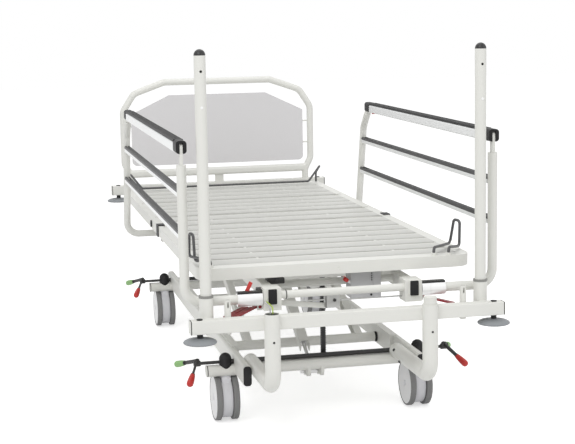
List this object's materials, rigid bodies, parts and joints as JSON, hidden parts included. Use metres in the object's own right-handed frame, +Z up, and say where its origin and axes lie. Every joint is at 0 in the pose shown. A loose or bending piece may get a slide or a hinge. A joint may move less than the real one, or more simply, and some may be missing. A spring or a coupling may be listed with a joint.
{
  "type": "hospital bed",
  "caption": "Adjustable hospital bed on castors: slatted sectioned deck on a lifting frame, folding side rails, foot board, removable posts, brake pedals.",
  "frame": {"origin": "centre of the bed's plan on the floor, under the middle between the head beam and the foot beam", "axes": "+X across the bed, +Y along the bed from the head end to the foot end, +Z up"},
  "size_m": [1.01, 2.36, 1.2],
  "materials": {
    "coat": "warm white powder coat, satin",
    "black_plastic": "moulded, fine grain",
    "castor_plastic": "moulded",
    "tread": "non-marking grey rubber",
    "brake_steel": "dark zinc plate, satin",
    "pedal_plastic": "moulded, red one way and green the other",
    "disc_plastic": "moulded",
    "bright_steel": "drawn bar",
    "rail_aluminium": "anodised extrusion",
    "box_plastic": "moulded",
    "lever_paint": "dark red powder coat",
    "lead_rubber": "insulated wire",
    "wire_steel": "zinc plated wire",
    "button_plastic": "moulded"
  },
  "bodies": {
    "chassis": {"base_frame": "coat", "base_plugs": "black_plastic", "head_frame": "coat", "head_frame_fittings": "black_plastic", "earth_lead": "lead_rubber"},
    "castor_hl": {"castor_hl": "castor_plastic"},
    "wheels_hl": {"wheels_hl": "tread"},
    "castor_hr": {"castor_hr": "castor_plastic"},
    "wheels_hr": {"wheels_hr": "tread"},
    "castor_fl": {"castor_fl": "castor_plastic"},
    "wheels_fl": {"wheels_fl": "tread"},
    "castor_fr": {"castor_fr": "castor_plastic"},
    "wheels_fr": {"wheels_fr": "tread"},
    "brake_head": {"brake_bar_head": "brake_steel", "brake_grips_head": "pedal_plastic"},
    "brake_foot": {"brake_bar_foot": "brake_steel", "brake_grips_foot": "pedal_plastic"},
    "bumper_hl": {"bumper_hl": "disc_plastic"},
    "bumper_hr": {"bumper_hr": "disc_plastic"},
    "lift_frame": {"upper_frame": "coat", "upper_plugs": "black_plastic", "rail_blocks": "rail_aluminium", "foot_beam": "coat", "foot_beam_fittings": "black_plastic", "control_box": "box_plastic", "toothed_strip": "black_plastic", "seat_section": "coat", "deck_hinge_covers": "black_plastic"},
    "bumper_fl": {"bumper_fl": "disc_plastic"},
    "bumper_fr": {"bumper_fr": "disc_plastic"},
    "arms_head": {"lift_arms_head": "coat"},
    "arms_foot": {"lift_arms_foot": "coat"},
    "ram_rod": {"ram_rod": "bright_steel"},
    "ram_tube": {"ram_tube": "coat"},
    "back": {"back_section": "coat", "retainers_head": "wire_steel"},
    "thigh": {"thigh_section": "coat"},
    "calf": {"calf_section": "coat", "retainer_foot": "wire_steel"},
    "board": {"board_frame": "coat", "board_panel": "box_plastic"},
    "post_left": {"post_left": "coat"},
    "lever_left": {"release_lever_left": "lever_paint"},
    "guard_near_left": {"near_upright_left": "coat"},
    "guard_far_left": {"far_upright_left": "coat"},
    "guard_top_left": {"top_bar_left": "rail_aluminium", "top_grip_left": "black_plastic"},
    "guard_mid_left": {"mid_bar_left": "rail_aluminium"},
    "guard_low_left": {"low_bar_left": "rail_aluminium"},
    "guard_button_left": {"rail_button_left": "button_plastic"},
    "post_right": {"post_right": "coat"},
    "lever_right": {"release_lever_right": "lever_paint"},
    "guard_near_right": {"near_upright_right": "coat"},
    "guard_far_right": {"far_upright_right": "coat"},
    "guard_top_right": {"top_bar_right": "rail_aluminium", "top_grip_right": "black_plastic"},
    "guard_mid_right": {"mid_bar_right": "rail_aluminium"},
    "guard_low_right": {"low_bar_right": "rail_aluminium"},
    "guard_button_right": {"rail_button_right": "button_plastic"}
  },
  "joints": [
    {"name": "castor_hl_swivel", "type": "hinge", "parent": "chassis", "child": "castor_hl", "pos_m": [-0.3215, -0.778, 0.14], "axis": [0, 0, 1], "continuous": true},
    {"name": "wheels_hl_roll", "type": "hinge", "parent": "castor_hl", "child": "wheels_hl", "pos_m": [-0.3215, -0.755, 0.075], "axis": [1, 0, 0], "continuous": true},
    {"name": "castor_hr_swivel", "type": "hinge", "parent": "chassis", "child": "castor_hr", "pos_m": [0.3215, -0.778, 0.14], "axis": [0, 0, 1], "continuous": true},
    {"name": "wheels_hr_roll", "type": "hinge", "parent": "castor_hr", "child": "wheels_hr", "pos_m": [0.3215, -0.755, 0.075], "axis": [1, 0, 0], "continuous": true},
    {"name": "castor_fl_swivel", "type": "hinge", "parent": "chassis", "child": "castor_fl", "pos_m": [-0.3215, 0.679, 0.14], "axis": [0, 0, 1], "continuous": true},
    {"name": "wheels_fl_roll", "type": "hinge", "parent": "castor_fl", "child": "wheels_fl", "pos_m": [-0.3215, 0.702, 0.075], "axis": [1, 0, 0], "continuous": true},
    {"name": "castor_fr_swivel", "type": "hinge", "parent": "chassis", "child": "castor_fr", "pos_m": [0.3215, 0.679, 0.14], "axis": [0, 0, 1], "continuous": true},
    {"name": "wheels_fr_roll", "type": "hinge", "parent": "castor_fr", "child": "wheels_fr", "pos_m": [0.3215, 0.702, 0.075], "axis": [1, 0, 0], "continuous": true},
    {"name": "brake_head_turn", "type": "hinge", "parent": "chassis", "child": "brake_head", "pos_m": [0, -0.778, 0.1955], "axis": [1, 0, 0], "range_deg": [-15, 15]},
    {"name": "brake_foot_turn", "type": "hinge", "parent": "chassis", "child": "brake_foot", "pos_m": [0, 0.679, 0.1955], "axis": [1, 0, 0], "range_deg": [-15, 15]},
    {"name": "bumper_hl_spin", "type": "hinge", "parent": "chassis", "child": "bumper_hl", "pos_m": [-0.455, -1.13, 0.348], "axis": [0, 0, 1], "continuous": true},
    {"name": "bumper_hr_spin", "type": "hinge", "parent": "chassis", "child": "bumper_hr", "pos_m": [0.455, -1.13, 0.348], "axis": [0, 0, 1], "continuous": true},
    {"name": "lift", "type": "slide", "parent": "chassis", "child": "lift_frame", "axis": [0, 0, 1], "range_m": [-0.07, 0.13]},
    {"name": "bumper_fl_spin", "type": "hinge", "parent": "lift_frame", "child": "bumper_fl", "pos_m": [-0.455, 1.13, 0.481], "axis": [0, 0, 1], "continuous": true},
    {"name": "bumper_fr_spin", "type": "hinge", "parent": "lift_frame", "child": "bumper_fr", "pos_m": [0.455, 1.13, 0.481], "axis": [0, 0, 1], "continuous": true},
    {"name": "arms_head_swing", "type": "hinge", "parent": "chassis", "child": "arms_head", "pos_m": [0, -0.512, 0.18], "axis": [1, 0, 0], "range_deg": [-6.3, 11.6]},
    {"name": "arms_foot_swing", "type": "hinge", "parent": "chassis", "child": "arms_foot", "pos_m": [0, 0.308, 0.18], "axis": [1, 0, 0], "range_deg": [-6.3, 11.6]},
    {"name": "ram_swing", "type": "hinge", "parent": "chassis", "child": "ram_rod", "pos_m": [-0.027, -0.74, 0.138], "axis": [1, 0, 0], "range_deg": [-5.6, 10.3]},
    {"name": "ram_extend", "type": "slide", "parent": "ram_rod", "child": "ram_tube", "axis": [0, 0.8842, 0.4671], "range_m": [-0.036, 0.066]},
    {"name": "back_raise", "type": "hinge", "parent": "lift_frame", "child": "back", "pos_m": [0, -0.105, 0.5215], "axis": [-1, 0, 0], "range_deg": [0, 70]},
    {"name": "thigh_raise", "type": "hinge", "parent": "lift_frame", "child": "thigh", "pos_m": [0, 0.14, 0.5215], "axis": [1, 0, 0], "range_deg": [0, 30]},
    {"name": "calf_fold", "type": "hinge", "parent": "thigh", "child": "calf", "pos_m": [0, 0.55, 0.5215], "axis": [1, 0, 0], "range_deg": [-55, 0]},
    {"name": "board_lift", "type": "slide", "parent": "lift_frame", "child": "board", "axis": [0, 0, 1], "range_m": [0, 0.05]},
    {"name": "post_left_slide", "type": "slide", "parent": "chassis", "child": "post_left", "axis": [0, 0, 1], "range_m": [0, 0.09]},
    {"name": "lever_left_press", "type": "hinge", "parent": "lift_frame", "child": "lever_left", "pos_m": [-0.2533, -1.012, 0.42], "axis": [0, -1, 0], "range_deg": [0, 15], "stiffness_Nm_per_rad": 2, "springref_deg": -17.19},
    {"name": "guard_left_fold", "type": "hinge", "parent": "lift_frame", "child": "guard_near_left", "pos_m": [-0.4835, -1.04, 0.45], "axis": [-1, 0, 0], "range_deg": [0, 76]},
    {"name": "guard_left_far_fold", "type": "hinge", "parent": "lift_frame", "child": "guard_far_left", "pos_m": [-0.4835, 0.35, 0.45], "axis": [-1, 0, 0], "range_deg": [0, 76]},
    {"name": "guard_left_top_turn", "type": "hinge", "parent": "guard_near_left", "child": "guard_top_left", "pos_m": [-0.4835, -1.04, 0.915], "axis": [-1, 0, 0], "range_deg": [-76, 0]},
    {"name": "guard_left_mid_turn", "type": "hinge", "parent": "guard_near_left", "child": "guard_mid_left", "pos_m": [-0.4835, -1.01, 0.775], "axis": [-1, 0, 0], "range_deg": [-76, 0]},
    {"name": "guard_left_low_turn", "type": "hinge", "parent": "guard_near_left", "child": "guard_low_left", "pos_m": [-0.4835, -1.01, 0.65], "axis": [-1, 0, 0], "range_deg": [-76, 0]},
    {"name": "guard_left_button_press", "type": "slide", "parent": "guard_top_left", "child": "guard_button_left", "axis": [0, 0, 1], "range_m": [0, 0.004], "stiffness_N_per_m": 400, "springref_m": -0.004},
    {"name": "post_right_slide", "type": "slide", "parent": "chassis", "child": "post_right", "axis": [0, 0, 1], "range_m": [0, 0.09]},
    {"name": "lever_right_press", "type": "hinge", "parent": "lift_frame", "child": "lever_right", "pos_m": [0.2533, -1.012, 0.42], "axis": [0, 1, 0], "range_deg": [0, 15], "stiffness_Nm_per_rad": 2, "springref_deg": -17.19},
    {"name": "guard_right_fold", "type": "hinge", "parent": "lift_frame", "child": "guard_near_right", "pos_m": [0.4835, -1.04, 0.45], "axis": [-1, 0, 0], "range_deg": [0, 76]},
    {"name": "guard_right_far_fold", "type": "hinge", "parent": "lift_frame", "child": "guard_far_right", "pos_m": [0.4835, 0.35, 0.45], "axis": [-1, 0, 0], "range_deg": [0, 76]},
    {"name": "guard_right_top_turn", "type": "hinge", "parent": "guard_near_right", "child": "guard_top_right", "pos_m": [0.4835, -1.04, 0.915], "axis": [-1, 0, 0], "range_deg": [-76, 0]},
    {"name": "guard_right_mid_turn", "type": "hinge", "parent": "guard_near_right", "child": "guard_mid_right", "pos_m": [0.4835, -1.01, 0.775], "axis": [-1, 0, 0], "range_deg": [-76, 0]},
    {"name": "guard_right_low_turn", "type": "hinge", "parent": "guard_near_right", "child": "guard_low_right", "pos_m": [0.4835, -1.01, 0.65], "axis": [-1, 0, 0], "range_deg": [-76, 0]},
    {"name": "guard_right_button_press", "type": "slide", "parent": "guard_top_right", "child": "guard_button_right", "axis": [0, 0, 1], "range_m": [0, 0.004], "stiffness_N_per_m": 400, "springref_m": -0.004}
  ],
  "couplings": [
    {"joint": "brake_foot_turn", "follows": "brake_head_turn", "ratio": 1},
    {"joint": "arms_head_swing", "follows": "lift", "rad_per_m": 1.527},
    {"joint": "arms_foot_swing", "follows": "lift", "rad_per_m": 1.527},
    {"joint": "ram_swing", "follows": "lift", "rad_per_m": 1.354},
    {"joint": "ram_extend", "follows": "lift", "ratio": 0.5},
    {"joint": "calf_fold", "follows": "thigh_raise", "ratio": -1.81},
    {"joint": "guard_left_far_fold", "follows": "guard_left_fold", "ratio": 1},
    {"joint": "guard_left_top_turn", "follows": "guard_left_fold", "ratio": -1},
    {"joint": "guard_left_mid_turn", "follows": "guard_left_fold", "ratio": -1},
    {"joint": "guard_left_low_turn", "follows": "guard_left_fold", "ratio": -1},
    {"joint": "guard_right_far_fold", "follows": "guard_right_fold", "ratio": 1},
    {"joint": "guard_right_top_turn", "follows": "guard_right_fold", "ratio": -1},
    {"joint": "guard_right_mid_turn", "follows": "guard_right_fold", "ratio": -1},
    {"joint": "guard_right_low_turn", "follows": "guard_right_fold", "ratio": -1}
  ]
}
